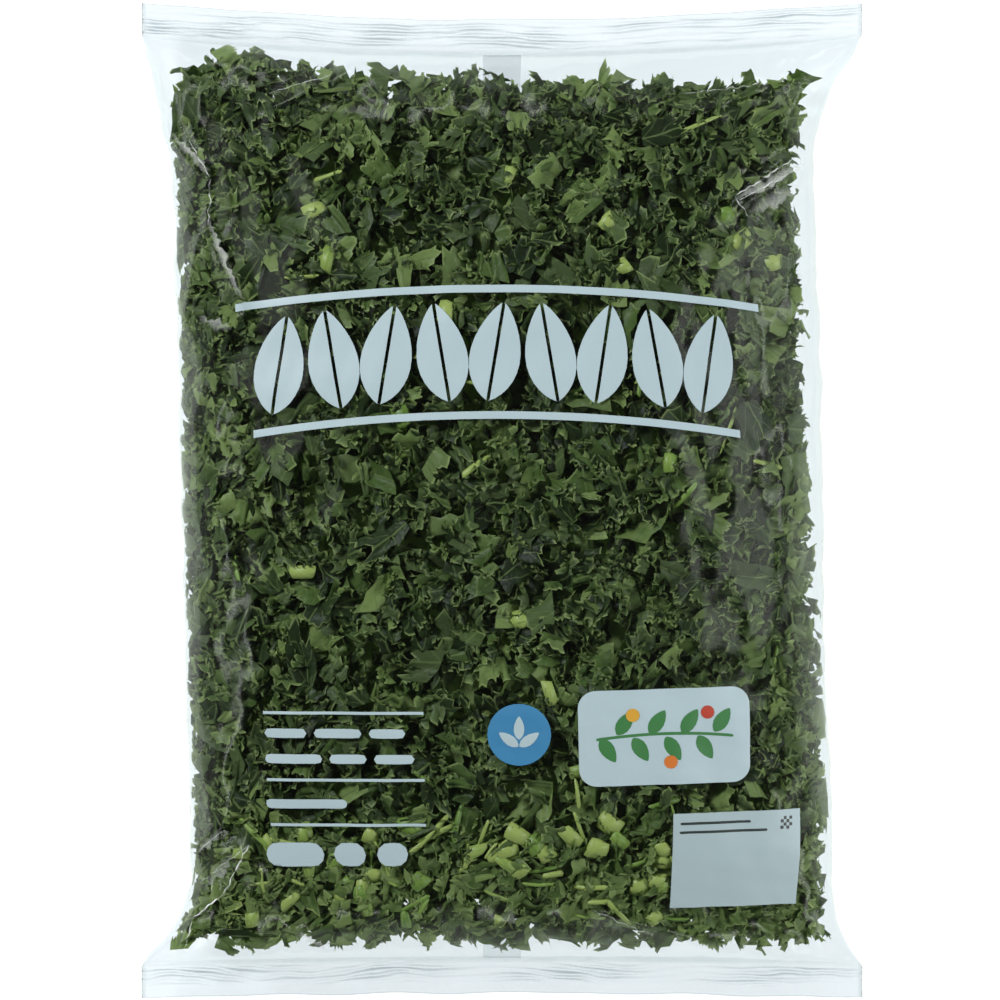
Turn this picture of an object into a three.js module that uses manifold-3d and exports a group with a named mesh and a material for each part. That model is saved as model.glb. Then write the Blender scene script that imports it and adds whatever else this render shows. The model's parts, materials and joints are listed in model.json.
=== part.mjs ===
// A clear film pillow bag filled with chopped curly kale, lying on its back. Millimetres, +Z up.
// The bag's printed front faces +Z, its top end is at +Y and its right side, seen from the front, at +X.
// The origin is on the surface that the bag lies on, under the middle of the bag.

import * as THREE from "three";
import { mergeVertices } from "three/addons/utils/BufferGeometryUtils.js";
import Module from "manifold-3d";

const wasm = await Module();
wasm.setup();

// The bag as it was cut and sealed
const bagLength = 345;
const sealWidth = 250;
const sealHeight = 11;
const ribsPerSeal = 5;
const ribHeight = 0.45;
const sealHalfThickness = 0.6;
const filmWall = 0.8;
const insideEnd = 0.985; // the inside of the bag ends at this share of the way to the seals
const filmPointsAround = 36;
const filmStations = 20;

// The bag as it lies when it is full
const bodyHalfWidth = 111;
const bodyLean = 0.025; // the body leans this much sideways for each millimetre of length
const restToSeals = 15.5; // height of the two seals and the side edges above the surface
const frontRise = 36.5; // height of the front's crown above the seals
const backDrop = 16.5; // the back sags this far below the seals, and is flat where it meets the surface
const frontRoundness = 2.6;
const backRoundness = 4.5;
const flatStripRoundness = 8;
const topEdgeBow = 6; // the middle of the top seal is pulled in by the weight of the kale
const bottomEdgeBow = 1.5;
const flareLength = { topLeft: 59, topRight: 41, bottomLeft: 30, bottomRight: 20 };
const flarePower = 1.6;

// The fin seal down the middle of the back, and the vent holes beside it
const finHalfWidth = 6.5;
const finGroove = { halfWidth: 0.6, depth: 0.35 };
const vent = { radius: 1.5, sides: 10, fromMiddle: 55, apart: 80 };

// The chopped kale
const randomSeed = 24;
const kaleGap = 2.6; // least depth of any leaf below the outside of the film
const farDepth = 3.2; // depth of a leaf's far side
const nearDepth = 5.6; // depth of its near side, over its root
const rootSink = 7; // the root is bent down this much further, into the core
const coreEnd = 0.91; // the core stops at this share of the way to the seals
const coreDepth = [8, 11]; // the core's uneven surface lies between these depths
const coreRings = 14;
const corePointsPerRing = 24;
const leafRows = 12;
const leavesPerRow = 15;
const leafUneven = 0.45; // each leaf is off its even place by up to half this share of the spacing
const leafReach = 0.985; // no leaf reaches past this share of the way to the seals
const leafSpread = 0.9; // a leaf points up to this many radians to either side of its neighbours' flow
const leafLength = [27, 34];
const leafWidth = [20, 26];
const leafThickness = 0.8;
const frilledShare = 0.6; // this share of the pieces still have a frilled margin
const frillPoints = 8;
const frillWave = 1.3;
const frillTooth = 0.11;
const cutPoints = 6;
const cutUneven = 0.12; // the corners of a plain cut piece are this uneven, as a share of its size
const stemPieces = 22;
const stemSides = 5;
const stemLength = [11, 17];
const stemRadius = [2.6, 3.6];

const sealInner = bagLength / 2 - sealHeight;

// Numbers from 0 to 1 in an order fixed by the seed.
function makeRandom(seed) {
  let state = seed;
  return () => {
    state = (state + 0x6d2b79f5) | 0;
    let mixed = Math.imul(state ^ (state >>> 15), 1 | state);
    mixed = (mixed + Math.imul(mixed ^ (mixed >>> 7), 61 | mixed)) ^ mixed;
    return ((mixed ^ (mixed >>> 14)) >>> 0) / 4294967296;
  };
}

const clamp01 = (t) => Math.min(1, Math.max(0, t));
const clampTo = (t, most) => Math.min(most, Math.max(-most, t));
const smooth = (t) => clamp01(t) ** 2 * (3 - 2 * clamp01(t));
const mix = (a, b, t) => a + (b - a) * t;

// How far the bag reaches to the right (side 1) or left (side -1) at a place along its length.
function sideReach(y, side) {
  const end = y > 0 ? "top" : "bottom";
  const flare = flareLength[end + (side > 0 ? "Right" : "Left")];
  const body = bodyHalfWidth - side * bodyLean * y;
  const nearSeal = clamp01((Math.abs(y) - sealInner + flare) / flare);
  return mix(body, sealWidth / 2, nearSeal ** flarePower);
}

// One quarter of a cross section as points of a superellipse, from the back's or the front's middle out.
function quarterSection(reach, height, roundness) {
  const steps = 24;
  return Array.from({ length: steps + 1 }, (_, i) => {
    const angle = ((1 - i / steps) * Math.PI) / 2;
    return [
      reach * Math.cos(angle) ** (2 / roundness),
      height * Math.sin(angle) ** (2 / roundness),
    ];
  });
}

// The point at a share of the length of a line of points.
function alongLine(points, share) {
  const steps = points.slice(1).map((p, i) => Math.hypot(p[0] - points[i][0], p[1] - points[i][1]));
  let left = share * steps.reduce((a, b) => a + b, 0);
  let i = 0;
  while (i < steps.length - 1 && left > steps[i]) {
    left -= steps[i];
    i += 1;
  }
  const t = Math.min(1, left / steps[i]);
  return [mix(points[i][0], points[i + 1][0], t), mix(points[i][1], points[i + 1][1], t)];
}

// The pillow's surface, or one nested inside it at a depth. Round goes once around the tube: 0 is the
// middle of the back, 0.25 the right edge, 0.5 the middle of the front and 0.75 the left edge.
// Along goes from -1 at the bottom seal's inner edge to 1 at the top seal's.
function pillow(round, along, depth) {
  const turn = round - Math.floor(round);
  const side = turn < 0.5 ? 1 : -1;
  const fromBack = turn < 0.5 ? turn : 1 - turn;
  const isFront = fromBack > 0.25;
  const share = isFront ? (0.5 - fromBack) * 4 : fromBack * 4;
  const y = along * (sealInner - depth);
  const fill = Math.sqrt(Math.max(0, 1 - Math.abs(along) ** 3));
  const full = (isFront ? frontRise : backDrop) - depth;
  const height = Math.max(0, full * fill) + (depth < sealHalfThickness ? sealHalfThickness : 0.05);
  const roundness = mix(isFront ? frontRoundness : backRoundness, flatStripRoundness, (1 - fill) ** 8);
  const [x, rise] = alongLine(quarterSection(sideReach(y, side) - depth, height, roundness), share);
  const z = Math.max(depth, restToSeals + (isFront ? rise : -rise));
  return [x * side, bowed(x, y), z];
}

// The ends of the bag are drawn in towards the middle of their width.
function bowed(x, y) {
  const bow = y > 0 ? topEdgeBow : -bottomEdgeBow;
  const nearEnd = smooth((Math.abs(y) - sealInner / 2) / (sealInner / 2));
  return y - bow * nearEnd * (1 - (x / (sealWidth / 2)) ** 2);
}

// The flat crimped strip beyond the pillow, at a distance past its inner edge, with ribs across it.
function sealStrip(round, end, past) {
  const [x, , z] = pillow(round, end, 0);
  const crimp = Math.round((past / sealHeight) * ribsPerSeal * 2) % 2 ? ribHeight : -ribHeight;
  return [x, bowed(x, end * (sealInner + past)), z + (past > 0 ? crimp : 0)];
}

// Shares of the way around, closer together at the side edges, the same on the front and the back.
function roundStations(count) {
  return Array.from({ length: count }, (_, i) => {
    const t = i / count;
    return t + (0.5 * Math.sin(4 * Math.PI * t)) / (4 * Math.PI);
  });
}

// Shares of the way from end to end, closer together near the ends.
function alongStations(count, end) {
  return Array.from({ length: count + 1 }, (_, i) => end * Math.sin((i / count - 0.5) * Math.PI));
}

// A closed solid from rings of points. Each end is closed between the ring's front and back halves.
function loft(rings) {
  const count = rings[0].length;
  const faces = [];
  for (let ring = 0; ring < rings.length - 1; ring += 1) {
    for (let i = 0; i < count; i += 1) {
      const a = ring * count + i;
      const b = ring * count + ((i + 1) % count);
      faces.push([a, b + count, b], [a, a + count, b + count]);
    }
  }
  const last = (rings.length - 1) * count;
  for (let i = 0; i < count / 2; i += 1) {
    const across = (k) => (count + count / 2 - k) % count;
    const from = (i + count - count / 4) % count;
    const to = (from + 1) % count;
    const square = [from, to, across(to), across(from)];
    faces.push([square[0], square[1], square[2]], [square[0], square[2], square[3]]);
    faces.push([square[2] + last, square[1] + last, square[0] + last]);
    faces.push([square[3] + last, square[2] + last, square[0] + last]);
  }
  return solidFrom(rings.flat(), faces);
}

// A manifold-3d solid from points and triangles. Triangles with a repeated corner are dropped.
function solidFrom(points, faces) {
  const corners = faces.flat().flatMap((corner) => points[corner]);
  const loose = new THREE.BufferGeometry();
  loose.setAttribute("position", new THREE.Float32BufferAttribute(corners, 3));
  const merged = mergeVertices(loose, 1e-3);
  const triVerts = [];
  for (let i = 0; i < merged.index.count; i += 3) {
    const [a, b, c] = [merged.index.getX(i), merged.index.getX(i + 1), merged.index.getX(i + 2)];
    if (a !== b && b !== c && c !== a) triVerts.push(a, b, c);
  }
  const mesh = new wasm.Mesh({
    numProp: 3,
    vertProperties: merged.attributes.position.array,
    triVerts: new Uint32Array(triVerts),
  });
  const solid = new wasm.Manifold(mesh);
  if (solid.volume() > 0) return solid;
  const turned = faces.map(([a, b, c]) => [a, c, b]);
  return solidFrom(points, turned);
}

// A solid from one of three.js's own closed geometries.
function solidFromGeometry(geometry) {
  const plain = geometry.index ? geometry.toNonIndexed() : geometry;
  const position = plain.getAttribute("position");
  const points = Array.from({ length: position.count }, (_, i) => [
    position.getX(i),
    position.getY(i),
    position.getZ(i),
  ]);
  const faces = Array.from({ length: position.count / 3 }, (_, i) => [3 * i, 3 * i + 1, 3 * i + 2]);
  return solidFrom(points, faces);
}

// A named mesh from a solid's main body. A sealed gap inside it is filled, and a loose scrap dropped.
function meshFrom(name, solid, material) {
  const bodies = solid.decompose();
  const main = bodies.reduce((a, b) => (b.volume() > a.volume() ? b : a));
  const { vertProperties, triVerts } = main.getMesh();
  const geometry = new THREE.BufferGeometry();
  geometry.setAttribute("position", new THREE.BufferAttribute(vertProperties, 3));
  geometry.setIndex(new THREE.BufferAttribute(triVerts, 1));
  geometry.computeVertexNormals();
  const mesh = new THREE.Mesh(geometry, material);
  mesh.name = name;
  return mesh;
}

// The film: a tube with a crimped seal at each end, hollow between the seals.
function makeFilmBag() {
  const around = roundStations(filmPointsAround);
  const body = alongStations(filmStations, 1);
  const crimps = Array.from({ length: ribsPerSeal * 2 + 1 }, (_, i) => (i / (ribsPerSeal * 2)) * sealHeight);
  const bottomSeal = crimps.slice(1).reverse().map((past) => around.map((r) => sealStrip(r, -1, past)));
  const topSeal = crimps.slice(1).map((past) => around.map((r) => sealStrip(r, 1, past)));
  const outside = body.map((v) => around.map((r) => pillow(r, v, 0)));
  const inside = alongStations(filmStations, insideEnd).map((v) => around.map((r) => pillow(r, v, filmWall)));
  let film = loft([...bottomSeal, ...outside, ...topSeal]).subtract(loft(inside));

  // The two edges of the fin seal, pressed flat into the back from end to end.
  for (const side of [-1, 1]) {
    const groove = body.slice(1, -1).map((v) => {
      const [x, y, z] = pillow((side * finHalfWidth) / (2 * sealWidth), v, 0);
      const { halfWidth, depth } = finGroove;
      return [[x - halfWidth, y, z], [x, y, z - depth], [x + halfWidth, y, z], [x, y, z + depth]];
    });
    film = film.subtract(loft(groove));
  }

  // Vent holes through the back, larger than the pin holes of the real film.
  for (const side of [-1, 1]) {
    for (const step of [-1, 0, 1]) {
      const hole = new THREE.CylinderGeometry(vent.radius, vent.radius, 4 * filmWall, vent.sides);
      hole.rotateX(Math.PI / 2);
      hole.translate(side * vent.fromMiddle, step * vent.apart, 0);
      film = film.subtract(solidFromGeometry(hole));
    }
  }
  const material = new THREE.MeshStandardMaterial({
    color: 0xe4eef2,
    roughness: 0.12,
    metalness: 0,
    transparent: true,
    opacity: 0.3,
  });
  return meshFrom("film_bag", film, material);
}

// The pillow's point that lies across and up from a place, measured in millimetres along its surface.
function onPillow(round, along, across, up, depth) {
  const slope = Math.asin(along);
  const perRadian = Math.hypot(sealInner * Math.cos(slope), (frontRise + backDrop) / 2);
  const moved = clampTo(slope + up / perRadian, Math.asin(leafReach));
  return pillow(round + across / (2 * sealWidth), Math.sin(moved), Math.max(kaleGap, depth));
}

// A cut piece of leaf that follows the pillow, with its root sunk in the core and the rest under the film.
// The rim is a line of points round its middle: a is the share of its length towards the far side, b of
// its width, and wave how far the point lies below the leaf. Both faces have the same triangles.
function leafPiece(round, along, heading, length, width, rim) {
  const place = (a, b, lift) => {
    const across = a * length * Math.cos(heading) - b * width * Math.sin(heading);
    const up = a * length * Math.sin(heading) + b * width * Math.cos(heading);
    const depth = mix(nearDepth, farDepth, clamp01(a + 0.5)) + lift;
    return onPillow(round, along, across, up, depth);
  };
  const points = [];
  for (const face of [0, leafThickness]) {
    points.push(place(0, 0, face));
    rim.forEach(({ a, b, wave }) => points.push(place(a, b, wave + face)));
  }
  const count = rim.length;
  const faces = [];
  for (let i = 0; i < count; i += 1) {
    const [p, q] = [1 + i, 1 + ((i + 1) % count)];
    const [under, below, next] = [count + 1, count + 1 + p, count + 1 + q];
    faces.push([0, p, q], [under, next, below], [p, below, next], [p, next, q]);
  }
  return solidFrom(points, faces);
}

// The rim of a leaf piece: a root that bends down into the core, and a frilled margin or plain cuts.
function leafRim(random, frilled) {
  const count = frilled ? frillPoints : cutPoints;
  return Array.from({ length: count }, (_, i) => {
    if (i === 0) return { a: -0.6, b: 0, wave: rootSink };
    const angle = ((i + 0.3 * (random() - 0.5)) / count) * 2 * Math.PI - Math.PI;
    const turn = i % 2 ? 1 : -1;
    const wave = frilled ? turn * frillWave : 0;
    const radius = 0.5 + (frilled ? turn * frillTooth : cutUneven * (random() - 0.5));
    return { a: radius * Math.cos(angle), b: radius * Math.sin(angle), wave };
  });
}

// A short piece of stem, cut across at both ends and sunk among the leaves as far as the core.
function stemPiece(round, along, heading, length, radius) {
  const points = [];
  for (const end of [-0.5, 0.5]) {
    for (let i = 0; i < stemSides; i += 1) {
      const angle = (i / stemSides) * 2 * Math.PI;
      const b = radius * Math.cos(angle);
      const across = end * length * Math.cos(heading) - b * Math.sin(heading);
      const up = end * length * Math.sin(heading) + b * Math.cos(heading);
      const depth = farDepth + radius * (1 - Math.sin(angle));
      points.push(onPillow(round, along, across, up, depth));
    }
  }
  const faces = [];
  for (let i = 0; i < stemSides; i += 1) {
    const next = (i + 1) % stemSides;
    faces.push([i, next, stemSides + next], [i, stemSides + next, stemSides + i]);
  }
  for (let i = 1; i < stemSides - 1; i += 1) {
    faces.push([0, i + 1, i], [stemSides, stemSides + i, stemSides + i + 1]);
  }
  return solidFrom(points, faces);
}

// The kale: a crumpled core that fills the middle, with leaf and stem pieces standing out of it all round.
function makeChoppedKale() {
  const random = makeRandom(randomSeed);
  const between = ([low, high]) => mix(low, high, random());
  const coreStations = alongStations(coreRings, coreEnd);
  const core = coreStations.map((v) =>
    roundStations(corePointsPerRing).map((r) => pillow(r, v, between(coreDepth))),
  );
  const pieces = [loft(core)];
  for (let row = 0; row < leafRows; row += 1) {
    for (let i = 0; i < leavesPerRow; i += 1) {
      const round = (i + (row % 2) / 2 + leafUneven * (random() - 0.5)) / leavesPerRow;
      const step = (row + 0.5 + leafUneven * (random() - 0.5)) / leafRows;
      const along = 2 * step - 1;
      const flow = 2 * Math.PI * (round + along);
      const heading = flow + 2 * leafSpread * (random() - 0.5);
      const rim = leafRim(random, random() < frilledShare);
      pieces.push(leafPiece(round, along, heading, between(leafLength), between(leafWidth), rim));
    }
  }

  // Two stem pieces in three lie at the bottom end, where the heavy ones settle.
  for (let i = 0; i < stemPieces; i += 1) {
    const round = (i + random()) / stemPieces;
    const along = i % 3 ? mix(-0.86, -0.7, random()) : mix(-0.75, 0.75, random());
    const heading = 2 * Math.PI * random();
    pieces.push(stemPiece(round, along, heading, between(stemLength), between(stemRadius)));
  }
  const material = new THREE.MeshStandardMaterial({ color: 0x46692d, roughness: 0.6, metalness: 0 });
  return meshFrom("chopped_kale", wasm.Manifold.union(pieces), material);
}

const bagOfKale = new THREE.Group();
bagOfKale.name = "bag_of_chopped_kale";
bagOfKale.add(makeFilmBag(), makeChoppedKale());

export default bagOfKale;
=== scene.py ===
# A clear film pillow bag filled with chopped curly kale. It lies on its back and is seen from straight above.
# Lengths are in millimetres, and a mesh is turned to metres when it is made. The lights' places and sizes
# and the depths of bumps are in metres.

import json

import bpy
import numpy as np
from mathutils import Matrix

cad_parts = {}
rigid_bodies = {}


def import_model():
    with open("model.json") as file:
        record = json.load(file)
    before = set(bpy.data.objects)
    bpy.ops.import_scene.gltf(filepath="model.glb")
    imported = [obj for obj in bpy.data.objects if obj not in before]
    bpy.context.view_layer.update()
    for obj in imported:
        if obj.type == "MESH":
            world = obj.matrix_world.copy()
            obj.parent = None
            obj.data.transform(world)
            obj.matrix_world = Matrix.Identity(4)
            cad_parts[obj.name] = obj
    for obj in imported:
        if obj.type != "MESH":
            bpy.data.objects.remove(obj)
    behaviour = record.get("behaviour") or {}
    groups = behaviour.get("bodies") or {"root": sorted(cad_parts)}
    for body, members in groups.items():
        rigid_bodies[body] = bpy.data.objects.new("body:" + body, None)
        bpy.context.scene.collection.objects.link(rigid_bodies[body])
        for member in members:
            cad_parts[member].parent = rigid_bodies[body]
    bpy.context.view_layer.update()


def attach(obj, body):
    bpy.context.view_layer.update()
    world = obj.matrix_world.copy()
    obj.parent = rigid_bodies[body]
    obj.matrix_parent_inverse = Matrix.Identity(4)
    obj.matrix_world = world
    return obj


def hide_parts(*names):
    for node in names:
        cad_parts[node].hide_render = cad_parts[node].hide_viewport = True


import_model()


# The camera looks straight down on the bag from well above it, through a long lens, as for a pack shot.
# The lens is set so that the seals' height above the surface is in the photograph's scale.
METRE = 1000.0
scene = bpy.context.scene
camera_height = 1600.0
camera_across = -0.69
seal_level = 15.5
width_in_view = 346.7
sensor = 36.0
camera = bpy.data.objects.new("camera", bpy.data.cameras.new("camera"))
camera.location = (camera_across / METRE, 0, camera_height / METRE)
camera.data.sensor_width = sensor
camera.data.lens = sensor * (camera_height - seal_level) / width_in_view
camera.data.clip_start = 0.05
camera.data.clip_end = 30
scene.collection.objects.link(camera)
scene.camera = camera
scene.view_settings.view_transform = "Standard"


# The film bag is one sheet of clear polypropylene film, formed into a tube round the kale. Its ends are
# crimped flat between ribbed jaws, and the kale's weight and the trapped air give it a pillow's shape.
bag_length = 345.0
seal_width = 250.0
seal_height = 11.0
seal_inner = bag_length / 2 - seal_height
seal_half_thickness = 0.25
body_half_width = 111.0
body_lean = 0.025
front_rise = 36.5
back_drop = 16.5
front_roundness, back_roundness, flat_roundness = 2.6, 4.5, 8.0
section_points = 73
top_edge_bow, bottom_edge_bow = 6.0, 1.5
top_left_flare, top_right_flare, bottom_left_flare, bottom_right_flare = 59.0, 41.0, 30.0, 20.0
flare_power = 1.6
film_thickness = 0.1


def mix(a, b, t):
    """The value a share t of the way from a to b."""
    return a + (b - a) * t


def smooth(t):
    """Rises from 0 to 1 with no slope at either end."""
    t = np.clip(t, 0, 1)
    return t * t * (3 - 2 * t)


def side_reach(y, side):
    """How far the bag reaches to its right (side 1) or left (-1): the body's half width, with a slight
    lean, grows to the seal's over a flare's length, as a power of the way along it."""
    top = np.where(side > 0, top_right_flare, top_left_flare)
    bottom = np.where(side > 0, bottom_right_flare, bottom_left_flare)
    flare = np.where(y > 0, top, bottom)
    body = body_half_width - side * body_lean * y
    near_seal = np.clip((np.abs(y) - seal_inner + flare) / flare, 0, 1)
    return mix(body, seal_width / 2, near_seal**flare_power)


def bowed(x, y):
    """Both ends are pulled in towards the middle of their width, by a parabola across it."""
    bow = np.where(y > 0, top_edge_bow, -bottom_edge_bow)
    near_end = smooth((np.abs(y) - seal_inner / 2) / (seal_inner / 2))
    return y - bow * near_end * (1 - (x / (seal_width / 2)) ** 2)


def pillow(turn, along, depth):
    """The filled bag, or a smaller one nested in it at a depth, as rows along it and columns round it.
    Turn is a share of the way round: 0 the back, 0.25 the left edge, 0.5 the front. Each quarter of a
    section is a superellipse with its points spaced evenly, and its height follows the root of one less
    the cube of the share of the way to the seal."""
    turn, along = np.broadcast_arrays(turn[None, :] % 1, along[:, None])
    side = np.where(turn < 0.5, -1.0, 1.0)
    from_back = np.minimum(turn, 1 - turn)
    is_front = from_back > 0.25
    share = np.where(is_front, 0.5 - from_back, from_back) * 4
    y = along * (seal_inner - depth)
    fill = np.sqrt(np.clip(1 - np.abs(along) ** 3, 0, 1))
    height = (np.where(is_front, front_rise, back_drop) - depth).clip(0) * fill + seal_half_thickness
    roundness = mix(np.where(is_front, front_roundness, back_roundness), flat_roundness, (1 - fill) ** 8)
    angle = np.linspace(np.pi / 2, 0, section_points)
    power = 2 / roundness[..., None]
    across = (side_reach(y, side) - depth)[..., None] * np.cos(angle) ** power
    rise = height[..., None] * np.sin(angle) ** power
    steps = np.hypot(np.diff(across), np.diff(rise))
    run = np.concatenate([np.zeros(steps.shape[:2] + (1,)), np.cumsum(steps, -1)], -1)
    wanted = (share * run[..., -1])[..., None]
    cell = np.clip((run <= wanted).sum(-1, keepdims=True) - 1, 0, section_points - 2)
    both_ends = lambda a: (np.take_along_axis(a, cell, -1), np.take_along_axis(a, cell + 1, -1))
    start, end = both_ends(run)
    t = np.clip((wanted - start) / np.maximum(end - start, 1e-9), 0, 1)
    x, rise = (mix(*both_ends(a), t)[..., 0] for a in (across, rise))
    z = np.maximum(depth, seal_level + np.where(is_front, rise, -rise))
    return np.stack([side * x, bowed(side * x, y), z], -1)


def outward(grid):
    """The unit normal at each point of a grid of rows and columns, from its steps both ways."""
    along_rows, along_columns = np.gradient(grid, axis=(-3, -2))
    normal = np.cross(along_columns, along_rows)
    return normal / np.maximum(np.linalg.norm(normal, axis=-1, keepdims=True), 1e-12)


def ripples(rng, x, y, shortest, longest, waves=9):
    """Smooth random relief from -1 to 1: the mean of sine waves with random lengths, headings and starts."""
    total = np.zeros(np.broadcast(x, y).shape)
    for heading, length, start in zip(rng.uniform(0, np.pi, waves), rng.uniform(shortest, longest, waves),
                                      rng.uniform(0, 2 * np.pi, waves)):
        total += np.sin((x * np.cos(heading) + y * np.sin(heading)) * 2 * np.pi / length + start)
    return total / np.sqrt(waves)


# The folds that the bag's corners fall into: where each starts and ends on the front, its height and its
# width. All are raised by one factor, fall away at one rate and are rounded over their line alike.
fold_raise, fold_rate, fold_rounding = 1.5, 1.3, 0.3
corner_folds = [
    ((-116, 127), (-100, 110), 1.6, 3.5), ((-100, 110), (-100, 92), 1.5, 4.0),
    ((-100, 92), (-87, 67), 1.7, 3.5), ((-103, 88), (-108, 62), 1.4, 4.5),
    ((103, 121), (77, 101), 2.4, 3.5), ((104, 112), (84, 98), 1.2, 4.0), ((95, 96), (104, 70), 1.2, 6.0),
    ((-86, -115), (-95, -137), 1.6, 3.0), ((-95, -137), (-106, -143), 1.6, 3.0),
    ((-106, -143), (-110, -154), 1.2, 3.0), ((-86, -115), (-98, -124), 1.4, 3.0),
    ((-94, -111), (-106, -121), 1.4, 3.0), ((33, -139), (69, -152), 1.4, 6.0),
    ((60, 128), (95, 142), 1.0, 5.0), ((-80, 132), (-52, 148), 1.0, 5.0),
]


def fold_relief(x, y):
    """The highest of the folds at each place: each is a ridge that falls off exponentially from its line
    and past the line's ends."""
    relief = np.zeros(x.shape)
    for (x0, y0), (x1, y1), height, width in corner_folds:
        length = np.hypot(x1 - x0, y1 - y0)
        t = ((x - x0) * (x1 - x0) + (y - y0) * (y1 - y0)) / length**2
        nearest = np.clip(t, 0, 1)
        away = np.hypot(x - mix(x0, x1, nearest), y - mix(y0, y1, nearest))
        ridge = fold_raise * height * np.exp(-fold_rate * np.sqrt(away**2 + fold_rounding) / width)
        relief = np.maximum(relief, ridge)
    return relief


# The back's flat rest, the fin seal on it, and the ribs of the two end seals: -1 the foot, 1 the top.
rest_from_edge = 30.0
fin_half_width = 6.5
fin_channel_depth = 0.45
rib_pitch = 2.35
rib_height = 0.5
rib_reach = {-1: 7.5, 1: 10.3}
rib_fade = 1.5


def film_relief(rng, turn, along, x, y):
    """How far the film stands out from the plain pillow: soft bulges over the kale, gathers that fade from
    the seals and puckers at the side edges, each a height times ripples, then the corner folds, less a
    shallow channel for the fin seal."""
    is_front = np.abs(turn - 0.5) <= 0.25
    from_seal = (1 - np.abs(along)) * seal_inner
    to_edge = np.minimum(np.abs(turn - 0.25), np.abs(turn - 0.75)) * 2 * seal_width
    inside = smooth(from_seal / 6)
    bulges = 0.35 * ripples(rng, x, y, 16, 34) + 0.12 * ripples(rng, x, y, 6, 12)
    gathers = 0.9 * (ripples(rng, x, y * 0.25, 12, 34) + 0.4) * np.exp(-from_seal / 16)
    puckers = 0.4 * (ripples(rng, x * 0.2, y, 9, 26) + 0.2) * np.exp(-((to_edge / 11) ** 2))
    folds = np.where(is_front, fold_relief(x, y) * smooth(to_edge / 14), 0)
    relief = inside * (bulges + gathers + puckers + folds)
    on_rest = np.where(is_front, 1, smooth((rest_from_edge - to_edge) / 20))
    fin = np.exp(-((np.minimum(turn % 1, 1 - turn % 1) * 2 * seal_width / (fin_half_width + 1)) ** 8))
    return relief * on_rest - fin * fin_channel_depth * inside


def round_stations(start, count):
    """Shares of the way round half the bag. A sine draws them together at the side edges, where it bends."""
    t = start + 0.5 * np.arange(count) / count
    return t + 0.4 * np.sin(4 * np.pi * t) / (4 * np.pi)


body_rows, front_columns, back_columns = 136, 190, 60
strip_rows = {-1: 24, 1: 30}
film_turns = np.concatenate([round_stations(0.25, front_columns), round_stations(0.75, back_columns)])
even = np.linspace(-1, 1, body_rows)
film_alongs = mix(even, np.sin(even * np.pi / 2), 0.5)


def film_grid():
    """The film's outside: the pillow with its relief, and at each end a flat strip whose crimp is a sine
    wave across wandering ribs, and then a plain edge where the plies meet. Gives all the points, those of
    the body alone, and how far each of all is welded."""
    rng = np.random.default_rng(11)
    body = pillow(film_turns, film_alongs, 0.0)
    relief = film_relief(rng, film_turns[None, :], film_alongs[:, None], body[..., 0], body[..., 1])
    body += outward(body) * relief[..., None]
    body[..., 2] = np.maximum(body[..., 2], 0.0)
    strips, welds = [], []
    for end in (-1, 1):
        edge = (body[-1] if end > 0 else body[0])[None]
        x, level = edge[..., 0], edge[..., 2] - seal_level
        past = np.linspace(0, seal_height, strip_rows[end] + 1)[1:, None]
        wander = 1.3 * ripples(rng, x, past * 0, 50, 160) + 0.35 * ripples(rng, x, past * 4, 8, 24)
        uneven = np.maximum(0.6 + 0.45 * ripples(rng, x, past * 3, 20, 70), 0.1)
        ribs = np.sin(2 * np.pi * (past + wander) / rib_pitch)
        ribs = ribs * smooth((rib_reach[end] - past) / rib_fade) * smooth(past)
        curl = 0.5 * ripples(rng, x, past * 0, 50, 120) * (past / seal_height) ** 2
        y = bowed(x, end * (seal_inner + past)) + 0.3 * ripples(rng, x, 0, 25, 60)
        plies = level * (1 - 0.6 * smooth((past - 8) / 3))
        z = seal_level + plies + rib_height * uneven * ribs + curl
        strip = np.stack([np.broadcast_to(x, y.shape), y, z], -1)
        weld = smooth(past) * smooth((seal_width / 2 - np.abs(x)) / 4)
        strips.append(strip if end > 0 else strip[::-1])
        welds.append(weld if end > 0 else weld[::-1])
    points = np.concatenate([strips[0], body, strips[1]])
    return points, body, np.concatenate([welds[0], np.zeros(body.shape[:2]), welds[1]])


def tube_faces(rows, columns):
    """Squares between neighbouring rings, and a row of squares that closes the front half of each end ring
    against its back half."""
    ids = np.arange(rows * columns).reshape(rows, columns)
    following = np.roll(ids, -1, 1)
    sides = np.stack([ids[:-1], following[:-1], following[1:], ids[1:]], -1).reshape(-1, 4)
    ends = []
    for ring, flip in ((ids[0], False), (ids[-1], True)):
        front, back = ring[: columns // 2 + 1], np.roll(ring[::-1], 1)[: columns // 2 + 1]
        squares = np.stack([front[:-1], back[:-1], back[1:], front[1:]], -1)[1:-1]
        first = [front[0], back[1], front[1], front[1]]
        last = [front[-2], back[-2], front[-1], front[-1]]
        ends += [row[::-1] if flip else row for row in [first, *squares.tolist(), last]]
    return sides, [[int(v) for v in dict.fromkeys(row)] for row in ends]


def mesh_object(name, points, faces, material):
    """An object at the origin, in metres, from points in millimetres and a list of faces."""
    mesh = bpy.data.meshes.new(name)
    mesh.from_pydata(np.reshape(points, (-1, 3)) / METRE, [], faces)
    mesh.polygons.foreach_set("use_smooth", np.ones(len(mesh.polygons), bool))
    mesh.materials.append(material)
    mesh.update()
    piece = bpy.data.objects.new(name, mesh)
    scene.collection.objects.link(piece)
    return piece


def colour(hexa):
    """An sRGB hex value turned to a linear colour with full opacity."""
    srgb = np.array([int(hexa[i : i + 2], 16) for i in (1, 3, 5)]) / 255
    linear = np.where(srgb <= 0.04045, srgb / 12.92, ((srgb + 0.055) / 1.055) ** 2.4)
    return (*linear.tolist(), 1.0)


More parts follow.
